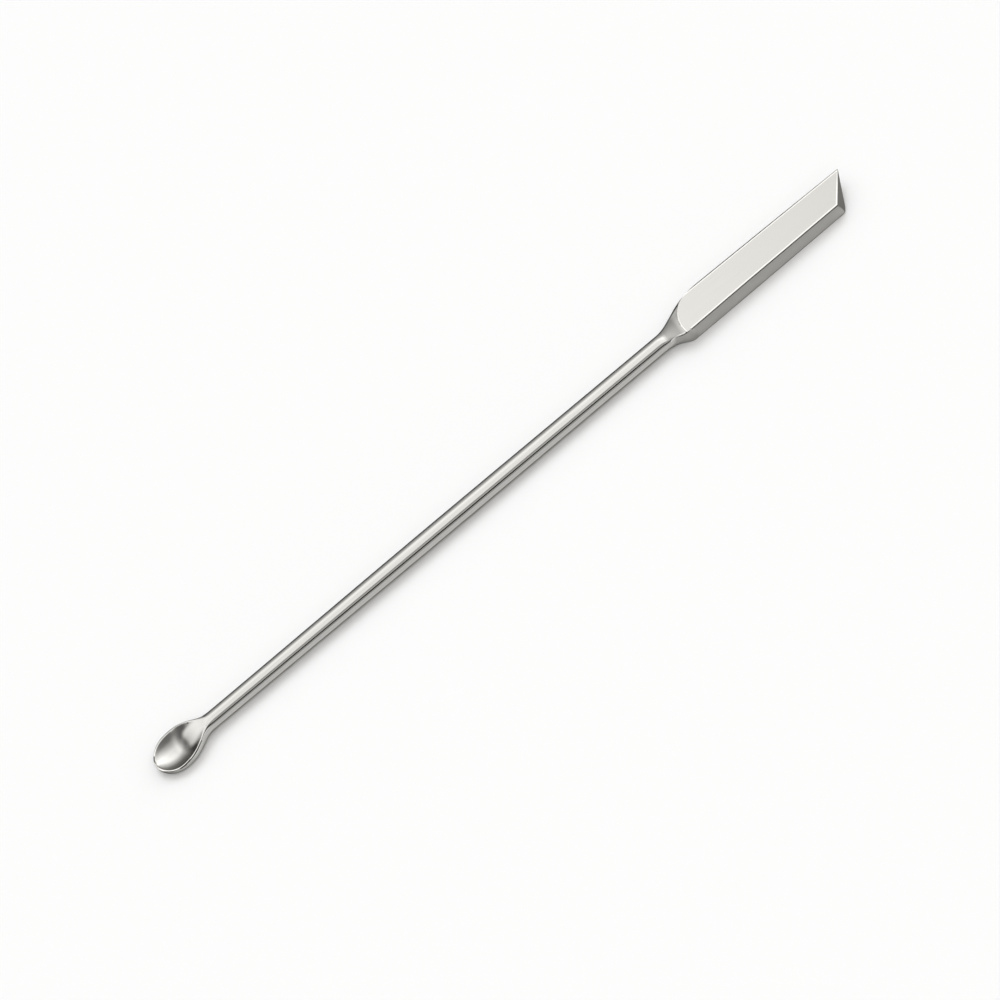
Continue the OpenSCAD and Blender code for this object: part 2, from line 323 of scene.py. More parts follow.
def near_reach(x, root):
    return mix(ROD_BLADE_R, root, ease(x, NECK_X + 2.2, NECK_X + 5.3))


def blade_ring(x):
    along = max(0.0, (x - FLAT_X) / (POINT_X - FLAT_X)) ** 1.5
    short = near_reach(x, mix(SHORT_ROOT, SHORT_TIP, along))
    long = mix(ROD_BLADE_R, mix(LONG_ROOT, LONG_TIP, along), ease(x, NECK_X, NECK_X + 7.8))
    down = mix(ROD_BLADE_R, AXIS_Z + 0.15, ease(x, NECK_X, FLAT_X))
    e_short = mix_exp(2, SQUARE_EXP, ease(x, NECK_X + NECK_L * 0.1, FLAT_X - NECK_L * 0.12))
    e_low = mix_exp(2, SQUARE_EXP, ease(x, NECK_X, FLAT_X + NECK_L * 0.25))
    crest = CREST * ease(x, NECK_X, FLAT_X)
    lean = NEAR_LEAN * ease(x, FLAT_X - 2, FLAT_X + 14)
    lower, upper = angles()
    ring = [curve(a, short - crest, long + crest, crown(x), down, e_short, 2, e_low)
            for a in lower + upper]
    height = [np.clip((z + AXIS_Z) / (FLAT_Z + AXIS_Z), 0, 1) for _, z in ring]
    return [(y - crest + lean * h * max(0.0, -y / (short - crest)), z)
            for (y, z), h in zip(ring, height)]


def ring_at(x):
    if x < ROD_X:
        return spoon_ring(x - NOSE_X)
    if x > NECK_X:
        return blade_ring(x)
    r = rod_r(x)
    return [(r * math.cos(a), r * math.sin(a)) for a in sum(angles(), [])]


print("blade at its root: %.2f mm on the near side, %.2f mm on the far side"
      % (-min(y for y, _ in ring_at(FLAT_X)), max(y for y, _ in ring_at(FLAT_X))))

# %% [markdown]
# The rings stand close where the shape turns: at the spoon, at both ends of the rod, in the neck
# and where the flat begins. On the plain lengths they stand wide apart.

# %% Where the rings stand along the bar
def steps(a, b, n):
    return [mix(a, b, i / n) for i in range(n)]


stations = [NOSE_X + WIDE_AT * (1 - math.cos(math.pi / 2 * i / 22)) for i in range(22)]
stations += steps(NOSE_X + WIDE_AT, NOSE_X + SPOON_L, 50)
stations += steps(NOSE_X + SPOON_L, ROD_X, 12)
stations += steps(ROD_X, ROD_X + 1, 4)
stations += steps(ROD_X + 1, NECK_X - 1, 40)
stations += steps(NECK_X - 1, NECK_X, 4)
stations += steps(NECK_X, FLAT_X - 0.3, 34)
stations += steps(FLAT_X - 0.3, FLAT_X + 4.0, 40)
stations += steps(FLAT_X + 4.0, FLAT_X + 9, 14)
stations += steps(FLAT_X + 9, POINT_X + 1, 6) + [POINT_X + 1]
print(len(stations), "rings of", RING)

# %% [markdown]
# ## Bar stock, then forging
#
# The stock is a circle at the nose, extruded ring by ring to the blade's end: a plain round bar.
# A cylinder would need its rings cut in afterwards, while an extrusion puts each one exactly
# where the shape needs it.

# %% Bar stock
bpy.ops.object.select_all(action="DESELECT")
bpy.ops.mesh.primitive_circle_add(
    vertices=RING, radius=ROD_MID_R * MM, rotation=(0, math.pi / 2, 0),
    location=(stations[0] * MM, AXIS_Y * MM, AXIS_Z * MM))
spatula = bpy.context.object
spatula.name = spatula.data.name = "spatula_skin"
bpy.ops.object.transform_apply(location=True, rotation=True, scale=True)
bpy.ops.object.mode_set(mode="EDIT")
bpy.ops.mesh.select_all(action="SELECT")
for a, b in zip(stations, stations[1:]):
    bpy.ops.mesh.extrude_edges_move(TRANSFORM_OT_translate={"value": ((b - a) * MM, 0, 0)})
bar = bmesh.from_edit_mesh(spatula.data)
print("stock:", len(bar.verts), "points")

# %% [markdown]
# Forging pulls every ring to its own section. A hand would drag each ring's points over a
# drawing; here the same rule that shaped the solid places them. The points of a ring are first
# sorted by their angle, because an extrusion numbers them in an order of its own.

# %% Forging
def turn(v):
    """How far round the axis a point of the stock lies, from the near side on."""
    a = math.atan2(v.co.z - AXIS_Z * MM, v.co.y - AXIS_Y * MM)
    return (a - math.pi + 1e-4) % (2 * math.pi)


rings = {}
for v in bar.verts:
    rings.setdefault(round(v.co.x / MM, 4), []).append(v)
places = sorted(rings)
for place, x in zip(places, stations):
    for v, (y, z) in zip(sorted(rings[place], key=turn), ring_at(x)):
        v.co = Vector((x, AXIS_Y + y, AXIS_Z + z)) * MM
bmesh.update_edit_mesh(spatula.data)
print("forged:", len(places), "rings")

# %% [markdown]
# The bar is still a tube. One face closes each end: at the nose it is the tip of the rim, and at
# the other end it goes again when the skew is cut. The faces are then turned outwards, so that
# the cuts and the light know the inside from the outside.

# %% Close the two ends
for end in (places[0], places[-1]):
    bpy.ops.mesh.select_all(action="DESELECT")
    for v in rings[end]:
        v.select = True
    bar.select_flush(True)
    bpy.ops.mesh.edge_face_add()
bpy.ops.mesh.select_all(action="SELECT")
bpy.ops.mesh.normals_make_consistent(inside=False)
print("closed bar:", len(bmesh.from_edit_mesh(spatula.data).faces), "faces")

# %% [markdown]
# ## Grinding
#
# The blade's underside is ground flat to lie on the bench, and its top is ground flat as well,
# falling a little to the point. Bisect is the grinding wheel: it cuts with a plane, throws away
# what lies outside and fills the cut. A very small threshold keeps it from catching points that
# only lie near the plane.

# %% Grind the two flats
FALL = math.atan((ROOT_TOP - TIP_TOP) / BLADE_L)


def grind(point, normal, start=None):
    """Cuts away all that lies on the normal's side of the plane, from x = start on."""
    bm = bmesh.from_edit_mesh(spatula.data)
    bpy.ops.mesh.select_all(action="SELECT")
    if start is not None:
        for f in bm.faces:
            f.select = f.calc_center_median().x / MM > start
        bm.select_flush_mode()
    bpy.ops.mesh.bisect(plane_co=Vector(point) * MM, plane_no=normal, use_fill=True,
                        clear_outer=True, threshold=1e-7)


bpy.ops.mesh.select_mode(type="FACE")
grind((FLAT_X, AXIS_Y, 0), (0, 0, -1), NECK_X)
grind((FLAT_X, AXIS_Y, ROOT_TOP), (math.sin(FALL), 0, math.cos(FALL)))
print("the top falls %.2f mm, or %.2f degrees" % (ROOT_TOP - TIP_TOP, math.degrees(FALL)))

# %% [markdown]
# The far edge of the flat gets two narrow facets from the stone: one laid almost flat takes off
# the burr, and a second at a steeper angle blunts the corner. A plane is right for them, because
# a stone is flat and is drawn straight along the edge.

# %% Stone the far edge
FAR_ROOT, FAR_TIP = 3.7, 3.24


def stone(inset, tilt):
    """A stroke along the far edge: inset is the facet's reach over the flat, tilt its fall."""
    start = Vector((FLAT_X, AXIS_Y + FAR_ROOT - inset, ROOT_TOP))
    stop = Vector((POINT_X, AXIS_Y + FAR_TIP - inset, TIP_TOP))
    line = (stop - start).normalized()
    over = Matrix.Rotation(-math.radians(tilt), 3, line) @ Vector((0, 0, 1))
    over = (over - line * over.dot(line)).normalized()
    grind(start, over, FLAT_X - 0.5)


for inset, tilt in ((0.42, 4), (0.24, 20)):
    stone(inset, tilt)
    print("facet %.2f mm wide at %d degrees" % (inset, tilt))

# %% [markdown]
# The near edge and the curved end of the flat are not straight, so a stone's plane would miss
# them. A bevel follows any line of edges. The edges are found by their place and by the large
# flat face beside them, and the curve beside the neck gets the smaller bevel.

# %% Break the near edge and the curve
NEAR_BREAK, CURVE_BREAK = 0.3, 0.11


def chosen_edges(test):
    bm = bmesh.from_edit_mesh(spatula.data)
    bpy.ops.mesh.select_mode(type="EDGE")
    bpy.ops.mesh.select_all(action="DESELECT")
    count = 0
    for e in bm.edges:
        if test(e):
            e.select = True
            count += 1
    bmesh.update_edit_mesh(spatula.data)
    return count


def on_flat(e):
    return any(f.normal.z > 0.999 and f.calc_area() > 1e-4 for f in e.link_faces)


def lie(e):
    """The middle of an edge, and how much of it runs along the bar."""
    a, b = (v.co for v in e.verts)
    return (a + b) / 2 / MM, abs((b - a).normalized().x)


def near_edge(e):
    middle, along = lie(e)
    return on_flat(e) and middle.y < AXIS_Y - 1 and along > 0.9 and middle.x > FLAT_X + 0.9


def curve_edge(e):
    middle, along = lie(e)
    return on_flat(e) and middle.x < FLAT_X + 5.2 and (middle.y > AXIS_Y - 1 or along < 0.9)


print("near edge:", chosen_edges(near_edge), "edges")
bpy.ops.mesh.bevel(offset=NEAR_BREAK * MM, segments=2, affect="EDGES", clamp_overlap=False)
print("curve:", chosen_edges(curve_edge), "edges")
bpy.ops.mesh.bevel(offset=CURVE_BREAK * MM, segments=2, affect="EDGES", clamp_overlap=False)

# %% [markdown]
# ## The skew end
#
# The end is sheared at 37.5 degrees to the bar, leaning back a little, after the long edges were
# broken, so the end face shows their round corners. One light stroke takes the burr off its top
# edge.

# %% Shear the end
SKEW, LEAN, BURR = math.radians(37.5), math.radians(10.5), math.radians(12)
CORNER_Y = (LONG_TIP + CREST) * math.sqrt(1 - ((TIP_TOP - AXIS_Z) / CROWN_MAX) ** 2) - CREST
FOOT_X = (POINT_X - (SHORT_TIP + CORNER_Y) * math.tan(SKEW)
          + TIP_TOP * math.tan(LEAN) / math.cos(SKEW))
skew = Matrix.Rotation(-SKEW, 3, "Z")
point = Vector((POINT_X, AXIS_Y + CORNER_Y, TIP_TOP))
foot = Vector((FOOT_X, AXIS_Y - SHORT_TIP, 0))
grind(point, skew @ Matrix.Rotation(-LEAN, 3, "Y") @ Vector((1, 0, 0)))
grind(point - skew @ Vector((0.12, 0, 0)), skew @ Vector((math.sin(BURR), 0, math.cos(BURR))))
print("the end runs back %.2f mm" % (POINT_X - FOOT_X))

# %% [markdown]
# The end's lower edge is rounded over. Eight plane cuts round it, each a little steeper than the
# last: they need no clean line of edges to follow, as a bevel does.

# %% Round the end's lower edge
END_R, CUTS = 0.7, 8
for k in range(CUTS):
    a = math.radians((k + 0.5) * 90 / CUTS)
    out = skew @ Vector((math.cos(a), 0, -math.sin(a)))
    grind(foot + skew @ Vector((-END_R, 0, END_R)) + out * END_R, out)
print("rounded by", CUTS, "cuts over", END_R, "mm")

# %% [markdown]
# The steel under the long corner is ground away, which leaves a thin point that a hand can push
# under a lump of powder. Three places fix the plane: the foot of the short side, the point, and
# a heel on the far edge.

# %% Grind under the point
HEEL_BACK = 9
heel = Vector((POINT_X - HEEL_BACK, AXIS_Y + CORNER_Y, 0))
under = (heel - foot).cross(point - foot).normalized()
grind(foot, under if under.z < 0 else -under)
bpy.ops.object.mode_set(mode="OBJECT")
skin = np.array([v.co for v in spatula.data.vertices]) / MM
print("skin, mm:", skin.min(0).round(3), skin.max(0).round(3), len(spatula.data.polygons))

# %% [markdown]
# The forged parts are round and shade smoothly, while the ground edges stay sharp. Weighted
# normals then keep the large flats truly flat beside the narrow facets.

# %% Smooth shading
bpy.ops.object.shade_smooth_by_angle(angle=math.radians(32))
weighted = spatula.modifiers.new("weighted", "WEIGHTED_NORMAL")
weighted.keep_sharp = True
bpy.ops.object.modifier_apply(modifier=weighted.name)
print("sharp edges:", sum(e.use_edge_sharp for e in spatula.data.edges))

# %% [markdown]
# ## Steel
#
# One bar, but not one surface: the steel is polished, ground, punched, sheared or left from the
# hammer, and each shows the light in its own way. The finishes are trees of nodes, and three
# small helpers write them: one fills a socket with a link or a value, and two add a node.

# %% Filling sockets
def plug(owner, socket, value):
    if isinstance(value, bpy.types.NodeSocket):
        owner.node_tree.links.new(value, socket)
    else:
        socket.default_value = value


def ranged(owner, value, start, end, to_start, to_end, smooth=False):
    """Takes a value from one range to another and stops at both ends."""
    node = owner.node_tree.nodes.new("ShaderNodeMapRange")
    if smooth:
        node.interpolation_type = "SMOOTHSTEP"
    for name, number in (("Value", value), ("From Min", start), ("From Max", end),
                         ("To Min", to_start), ("To Max", to_end)):
        plug(owner, node.inputs[name], number)
    return node.outputs["Result"]


def mixed(owner, kind, factor, a, b, blend="MIX"):
    node = owner.node_tree.nodes.new("ShaderNodeMix")
    node.data_type, node.blend_type = kind, blend
    for name, value in (("Factor", factor), ("A", a), ("B", b)):
        plug(owner, node.inputs[name], value)
    return node.outputs["Result"]


# %% [markdown]
# Drawn and polished rod is bright but not a mirror: polishing leaves very fine lines along it.
# Noise stretched along X makes the lines, in the roughness and in a bump too small to see as
# relief. An image would show its pixels on a bar that is this long and thin, and noise does not.
# The nodes are the same for every finish, so one function builds them from a few numbers.

# %% A steel
def steel(name, color, rough, grain, bump, tint):
    """rough is a range; grain is the noise's fineness along X, Y and Z; bump is in mm."""
    mat = bpy.data.materials.new(name)
    mat.use_nodes = True
    nodes = mat.node_tree.nodes
    shader = nodes["Principled BSDF"]
    shader.inputs["Metallic"].default_value = 1.0
    shader.inputs["Specular Tint"].default_value = (tint, tint, tint, 1)
    stretch, noise = nodes.new("ShaderNodeMapping"), nodes.new("ShaderNodeTexNoise")
    plug(mat, stretch.inputs["Vector"], nodes.new("ShaderNodeTexCoord").outputs["Object"])
    stretch.inputs["Scale"].default_value = grain
    plug(mat, noise.inputs["Vector"], stretch.outputs["Vector"])
    noise.inputs["Scale"].default_value = 1.0
    noise.inputs["Detail"].default_value = 4.0
    lines = noise.outputs["Fac"]
    plug(mat, shader.inputs["Roughness"], ranged(mat, lines, 0.3, 0.7, *rough))
    relief = nodes.new("ShaderNodeBump")
    relief.inputs["Strength"].default_value = 1.0
    relief.inputs["Distance"].default_value = bump * MM
    plug(mat, relief.inputs["Height"], lines)
    plug(mat, shader.inputs["Normal"], relief.outputs["Normal"])
    shade = mixed(mat, "RGBA", 1.0, (*color, 1), ranged(mat, lines, 0.3, 0.7, 0.97, 1.03),
                  "MULTIPLY")
    plug(mat, shader.inputs["Base Color"], shade)
    return mat


bar_steel = steel("bar_steel", (0.735, 0.727, 0.708), (0.09, 0.14),
                  (150, 6000, 6000), 0.0006, 0.05)
print("bar steel:", len(bar_steel.node_tree.nodes), "nodes")

# %% [markdown]
# The other finishes differ from the rod's in three ways: how bright the steel is, how rough, and
# how its grain runs. The hollow is brighter and softer from the punch, and the flat is ground.
# The sides are as the hammer left them and the end is sheared; their darker grey is partly
# painted shade. The broken edges get a painted highlight, and where they turn away from the
# light a painted shade.

# %% The other finishes
hollow_steel = steel("hollow_steel", (0.76, 0.752, 0.735), (0.2, 0.26),
                     (2500, 2500, 2500), 0.0008, 0.2)
ground_steel = steel("ground_steel", (0.645, 0.64, 0.622), (0.14, 0.2),
                     (200, 7000, 7000), 0.0006, 0.3)
# Partly painted shade: the sides' darker grey; their roughness is the hammer's.
side_painted_shade_steel = steel("side_painted_shade_steel", (0.50, 0.494, 0.477), (0.66, 0.74),
                   (200, 5000, 5000), 0.001, 0.3)
# Partly painted shade: the sheared end's dark grey; its roughness is from the shear.
sheared_painted_shade_steel = steel("sheared_painted_shade_steel", (0.24, 0.235, 0.225), (0.3, 0.45),
                      (3000, 3000, 3000), 0.002, 0.3)
# A painted highlight: a brighter steel for the broken edges and the rim's top.
painted_highlight_steel = steel("painted_highlight_steel", (0.92, 0.914, 0.893), (0.12, 0.16),
                   (200, 7000, 7000), 0.0004, 0.3)
# Painted shade: a near black steel for edges and corners that turn away from the light.
painted_shade_steel = steel("painted_shade_steel", (0.06, 0.059, 0.057), (0.3, 0.4),
                     (1500, 3000, 3000), 0.0006, 0.3)
FINISHES = (bar_steel, hollow_steel, ground_steel, side_painted_shade_steel, sheared_painted_shade_steel, painted_highlight_steel,
            painted_shade_steel)
print("finishes:", [mat.name for mat in FINISHES])

# %% [markdown]
# ## Painted light and shade on the steel
#
# The steel's grey carries painted shade where the bar turns away from the bright studio, in
# creases and beside the bench, and painted light in a few places. Where a point lies along the
# bar and which way it faces decide each mark. Each mark is therefore a product of a few soft
# limits on the place and the normal, and where that product is 1 the steel takes a given,
# slightly warm grey. Painting faces would leave a jagged line on the round parts, while a limit
# on the normal follows them.

# %% Marks on the steel
WARM = (1.0, 0.987, 0.956)


def coordinate(owner, output, axis):
    place = owner.node_tree.nodes.new("ShaderNodeTexCoord")
    split = owner.node_tree.nodes.new("ShaderNodeSeparateXYZ")
    plug(owner, split.inputs["Vector"], place.outputs[output])
    return split.outputs[axis]


def worked(owner, operation, *values):
    node = owner.node_tree.nodes.new("ShaderNodeMath")
    node.operation = operation
    for value, socket in zip(values, node.inputs):
        plug(owner, socket, value)
    return node.outputs[0]


def paint_light_or_shade(mat, factor, level):
    """Paints light or shade: turns the base colour to a grey of this level where the factor is 1.
    """
    socket = mat.node_tree.nodes["Principled BSDF"].inputs["Base Color"]
    before = socket.links[0].from_socket
    grey = (*(level * part for part in WARM), 1)
    plug(mat, socket, mixed(mat, "RGBA", factor, before, grey))


def rise(mat, value, start, full):
    """0 at the start and 1 when full; a full that is lower than the start turns it round."""
    return ranged(mat, value, start, full, 0, 1, True)


def between(mat, x, start, full):
    """The same for a place along the bar, in millimetres."""
    return rise(mat, x, start * MM, full * MM)


def where(mat, *factors):
    """1 only where every factor is 1."""
    product = factors[0]
    for factor in factors[1:]:
        product = worked(mat, "MULTIPLY", product, factor)
    return product


# %% [markdown]
# The near side gets two steps of painted shade, the lower one lighter again as painted light from
# the bench. What faces the bench is left as it is.

# %% Painted shade on the near side
bar_x = coordinate(bar_steel, "Object", "X")
facing, bar_y, upright = (coordinate(bar_steel, "Normal", axis) for axis in "XYZ")
not_under = rise(bar_steel, upright, -0.35, -0.2)
near_side = rise(bar_steel, bar_y, -0.72, -0.88)
# Painted shade on the near side.
paint_light_or_shade(bar_steel, where(bar_steel, near_side, not_under), 0.46)
# Its lower step is lighter again, as painted light from the bench.
paint_light_or_shade(bar_steel, where(bar_steel, near_side, rise(bar_steel, upright, 0.2, 0.04), not_under), 0.62)
print("steps of the near side: 0.46, and 0.62 low down")

# %% [markdown]
# The hollow gets painted shade up its two flanks, darkest beside the foot of the ramp. The
# normal's Y, without its sign, finds both flanks at once.

# %% Painted shade on the flanks of the hollow
hollow_x = coordinate(hollow_steel, "Object", "X")
flank = worked(hollow_steel, "ABSOLUTE", coordinate(hollow_steel, "Normal", "Y"))
# Painted shade up the flanks of the hollow.
paint_light_or_shade(hollow_steel, rise(hollow_steel, flank, 0.2, 0.55), 0.33)
ramp_foot = NOSE_X + BACK_AT + 0.65
foot_of_ramp = worked(hollow_steel, "MINIMUM",
                      between(hollow_steel, hollow_x, ramp_foot - 2.15, ramp_foot - 0.35),
                      between(hollow_steel, hollow_x, ramp_foot + 1.85, ramp_foot + 0.15))
# The darkest painted shade, beside the foot of the ramp.
paint_light_or_shade(hollow_steel, where(hollow_steel, rise(hollow_steel, flank, 0.06, 0.28), foot_of_ramp), 0.13)
print("flanks of the hollow: 0.33, and 0.13 round x = %.2f mm" % ramp_foot)

# %% [markdown]
# Where the spoon's rim turns into the rod, its near edge becomes a crease, and painted shade
# darkens it. It is a band of slopes, between the top and the side.

# %% Painted shade in the crease between spoon and rod
spoon_end = between(bar_steel, bar_x, ROD_X - 0.2, ROD_X - 1.8)
# Painted shade in the crease.
paint_light_or_shade(bar_steel, where(bar_steel, rise(bar_steel, upright, 0.54, 0.64),
                      rise(bar_steel, upright, 0.82, 0.72),
                      rise(bar_steel, bar_y, -0.35, -0.45), spoon_end), 0.13)
print("crease up to x = %.1f mm" % (ROD_X - 0.2))

# %% [markdown]
# The neck is as forged: brushed clean of scale, rougher than the rod, and darker, partly as
# painted shade. The polish stops a little further along on the near side. The face that rises
# to the flat gets painted light, and the near side where the flat begins gets painted shade.

# %% The forged neck
def roughen(mat, factor, rough):
    socket = mat.node_tree.nodes["Principled BSDF"].inputs["Roughness"]
    plug(mat, socket, mixed(mat, "FLOAT", factor, socket.links[0].from_socket, rough))


POLISH_END = NECK_X + 1.1
late = ranged(bar_steel, bar_y, -0.58, -0.7, 0, 0.9 * MM, True)
forged = between(bar_steel, worked(bar_steel, "SUBTRACT", bar_x, late),
                 POLISH_END, POLISH_END + 0.8)
roughen(bar_steel, forged, 0.42)
# Partly painted shade: the forged neck's darker grey.
paint_light_or_shade(bar_steel, forged, 0.50)
# Painted light on the face that rises to the flat.
paint_light_or_shade(bar_steel, where(bar_steel, rise(bar_steel, facing, -0.24, -0.4),
                      rise(bar_steel, upright, 0.6, 0.75), forged), 0.8)
# Painted shade on the near side where the flat begins.
paint_light_or_shade(bar_steel, where(bar_steel, near_side,
                      between(bar_steel, bar_x, FLAT_X - 0.5, FLAT_X + 0.5)), 0.455)
print("forged from x = %.1f mm on" % POLISH_END)

# %% [markdown]
# The far side gets painted shade like the near one. Its shoulder holds a painted dark line
# along the whole bar, which is wider round the spoon.

# %% The far side
# Painted shade on the far side.
paint_light_or_shade(bar_steel, where(bar_steel, rise(bar_steel, bar_y, 0.78, 0.9), not_under), 0.5)
# A painted dark line round the spoon's tail.
paint_light_or_shade(bar_steel, where(bar_steel, rise(bar_steel, bar_y, 0.2, 0.36),
                      between(bar_steel, bar_x, ROD_X + 0.2, ROD_X - 1.6),
                      rise(bar_steel, upright, 0.25, 0.45)), 0.13)
# A painted dark line along the shoulder.
paint_light_or_shade(bar_steel, where(bar_steel, rise(bar_steel, bar_y, 0.42, 0.58),
                      rise(bar_steel, bar_y, 0.9, 0.8)), 0.13)
print("far side 0.5, shoulder 0.13")

# %% [markdown]
# The blade's sides get a little lighter downwards, as painted light, and end in a line of painted
# shade at the bench. The ground top gets painted shade towards the point.

# %% Painted light and shade on the blade's side and top
side_z = coordinate(side_painted_shade_steel, "Object", "Z")
# Painted light: the sides are lighter downwards.
paint_light_or_shade(side_painted_shade_steel, ranged(side_painted_shade_steel, side_z, 2.4 * MM, 0.4 * MM, 0, 1), 0.58)
# Painted shade at the foot of the sides, by the bench.
paint_light_or_shade(side_painted_shade_steel, ranged(side_painted_shade_steel, side_z, 0.3 * MM, 0.15 * MM, 0, 1), 0.36)
top_x = coordinate(ground_steel, "Object", "X")
# Painted shade on the ground top towards the point.
paint_light_or_shade(ground_steel, ranged(ground_steel, top_x, FLAT_X * MM, (POINT_X - 3) * MM, 0, 1), 0.585)
print("side 0.58 and 0.36 at the foot, top 0.585 at the point")

# %% [markdown]
# ## Give each face its finish
#
# The finishes meet at edges, so a face has just one of them. A face is known by its place and by
# the way it faces: first those of the spoon, whose rim gets a painted highlight on its top and
# painted shade outside. The limits are measured from the hollow's edge outwards and from the
# rim's top down.

# %% Faces of the spoon
BAR, HOLLOW, FLAT, SIDE_PAINTED_SHADE, SHEARED_PAINTED_SHADE, EDGE, PAINTED_SHADE = range(len(FINISHES))
NOSE_END, LIP_END, LIP_W, LIP_D = 2.9, 8.8, 0.135, 0.3


def spoon_finish(c, n):
    u, off, over = c.x - NOSE_X, abs(c.y - AXIS_Y), c.z - AXIS_Z
    if not RIM_T < u < SPOON_L:
        return BAR
    turned = u > SPOON_L * 0.75 and n.y < -0.35
    if off < hollow_half(u) - 0.01 and not turned:
        return HOLLOW if over > -1.2 and n.z > 0.1 else BAR
    if over < rim_z(u) - LIP_D:
        return BAR
    lip = off - hollow_half(u)
    # Near side of the rim: a painted highlight on its top, painted shade outside it.
    if c.y < AXIS_Y and NOSE_END < u:
        return BAR if u > LIP_END else PAINTED_SHADE if lip > LIP_W else EDGE
    # Far side and nose: a painted highlight on the rim's top, painted shade outside.
    if u < SPOON_L * 0.8:
        outer = c.y > AXIS_Y and lip > (0.095 if u > WIDE_AT else 0.13)
        if n.z > 0.9 and not outer:
            return EDGE
        return PAINTED_SHADE if outer or u > NOSE_END else BAR
    return BAR


print("bright rim from %.1f to %.1f mm behind the nose" % (NOSE_END, LIP_END))

# %% [markdown]
# Then those of the blade and the neck: the ground flat, its broken edges, and the two sides. In
# the neck only the crest that runs down to the near edge is told apart from the bar.

# %% Faces of the blade and the neck
CURVE_L, SIDE_FROM, EDGE_D = 5.5, 1.3, 0.3


def blade_finish(face, c, n):
    past, under = c.x - FLAT_X, ROOT_TOP - math.tan(FALL) * (c.x - FLAT_X) - c.z
    if n.z > 0.9999 and face.area > 1e-5:
        return FLAT
    # Painted highlight on the broken edges; painted shade on edge faces that turn away.
    if past < CURVE_L and abs(under) < 0.05 and n.z > 0.3:
        return EDGE
    if n.z > (0.98 if c.y > AXIS_Y else 0.8) and under < EDGE_D and abs(n.x) < 0.1:
        return EDGE
    if n.z > 0.25 and under < EDGE_D and (c.y < AXIS_Y - 2 or past > CURVE_L):
        return PAINTED_SHADE
    if abs(n.y) > 0.75 and past > SIDE_FROM:
        return SIDE_PAINTED_SHADE
    return neck_finish(c, n)


def neck_finish(c, n):
    if NECK_X + 1.9 < c.x < FLAT_X + SIDE_FROM and c.y < AXIS_Y:
        off, reach = AXIS_Y - c.y, near_reach(c.x, SHORT_ROOT)
        # Painted highlight on the near crest, painted shade just beside it.
        if n.z > 0.4 and off > 0.88 * reach:
            return EDGE
        if c.z - AXIS_Z > 0.8 * min(crown(c.x), FLAT_Z) and off > 0.9 * reach:
            return PAINTED_SHADE
    return BAR


def finish(face):
    c, n = face.center / MM, face.normal
    # The sheared end is partly painted shade; its burr stroke gets a painted highlight.
    if c.x > FOOT_X - 1 and n @ (skew @ Vector((1, 0, 0))) > 0.15:
        return SHEARED_PAINTED_SHADE if n.z < 0.9 else EDGE
    if c.x < ROD_X:
        return spoon_finish(c, n)
    return blade_finish(face, c, n) if c.x > FLAT_X - 0.2 else neck_finish(c, n)


for mat in FINISHES:
    spatula.data.materials.append(mat)
counts = [0] * len(FINISHES)
for face in spatula.data.polygons:
    face.material_index = finish(face)
    counts[face.material_index] += 1
print("faces of each finish:", dict(zip((m.name for m in FINISHES), counts)))

# %% [markdown]
# ## The bench
#
# A plain white bench, wide enough to fill the picture. It has no shine, so the bar does not
# mirror in it and its soft shadow is all that shows on it.

# %% Bench
BENCH = 6
bpy.ops.object.select_all(action="DESELECT")
bpy.ops.mesh.primitive_plane_add(size=BENCH)
bench = bpy.context.object
bench.name = "bench"
white = bpy.data.materials.new("bench_white")
white.use_nodes = True
paint = white.node_tree.nodes["Principled BSDF"]
paint.inputs["Base Color"].default_value = (0.9, 0.9, 0.9, 1)
paint.inputs["Roughness"].default_value = 0.9
paint.inputs["Specular IOR Level"].default_value = 0.0
bench.data.materials.append(white)
print("bench, m:", list(bench.dimensions))

# %% [markdown]
# ## The camera
#
# The bar is seen from 58 degrees above the bench, from almost a metre away through a long lens,
# so that its two ends keep the same size. The camera is rolled by nearly 40 degrees, and the bar
# runs up to the right across the picture.

# %% Camera
HEIGHT, ROLL, DISTANCE = math.radians(58), math.radians(39.95), 0.919
aim = Vector((-3.03, -2.30, 0.06)) * MM
sight = Vector((0, math.cos(HEIGHT), -math.sin(HEIGHT)))
level = sight.cross(Vector((0, 0, 1))).normalized()
upward = level.cross(sight)
right = level * math.cos(ROLL) - upward * math.sin(ROLL)
up = level * math.sin(ROLL) + upward * math.cos(ROLL)
camera = bpy.data.objects.new("camera", bpy.data.cameras.new("camera"))
bpy.context.scene.collection.objects.link(camera)
camera.data.lens, camera.data.sensor_width = 200, 36
camera.data.clip_start, camera.data.clip_end = 0.01, 20
camera.matrix_world = (Matrix.Translation(aim - sight * DISTANCE)
                       @ Matrix((right, up, -sight)).transposed().to_4x4())
bpy.context.scene.camera = camera
print("camera, m:", [round(v, 3) for v in camera.matrix_world.translation])

# %% [markdown]
# ## The lamps
#
# Two wide, soft lamps light the bench: the key from behind the bar, which throws its shadow
# towards the camera, and a weaker fill from the camera's side. A metal shows its surroundings
# and not its lamps, so both are hidden from its reflections.

# %% Lamps
KEY, FILL = 0.66, 0.25


def lamp(name, heading, height, angle, energy, color):
    sun = bpy.data.objects.new(name, bpy.data.lights.new(name, "SUN"))
    bpy.context.scene.collection.objects.link(sun)
    sun.data.energy, sun.data.angle, sun.data.color = energy, math.radians(angle), color
    heading, height = math.radians(heading), math.radians(height)
    toward = Vector((math.sin(heading) * math.cos(height),
                     math.cos(heading) * math.cos(height), math.sin(height)))
    sun.rotation_euler = toward.to_track_quat("Z", "Y").to_euler()
    sun.visible_glossy = False
    return sun


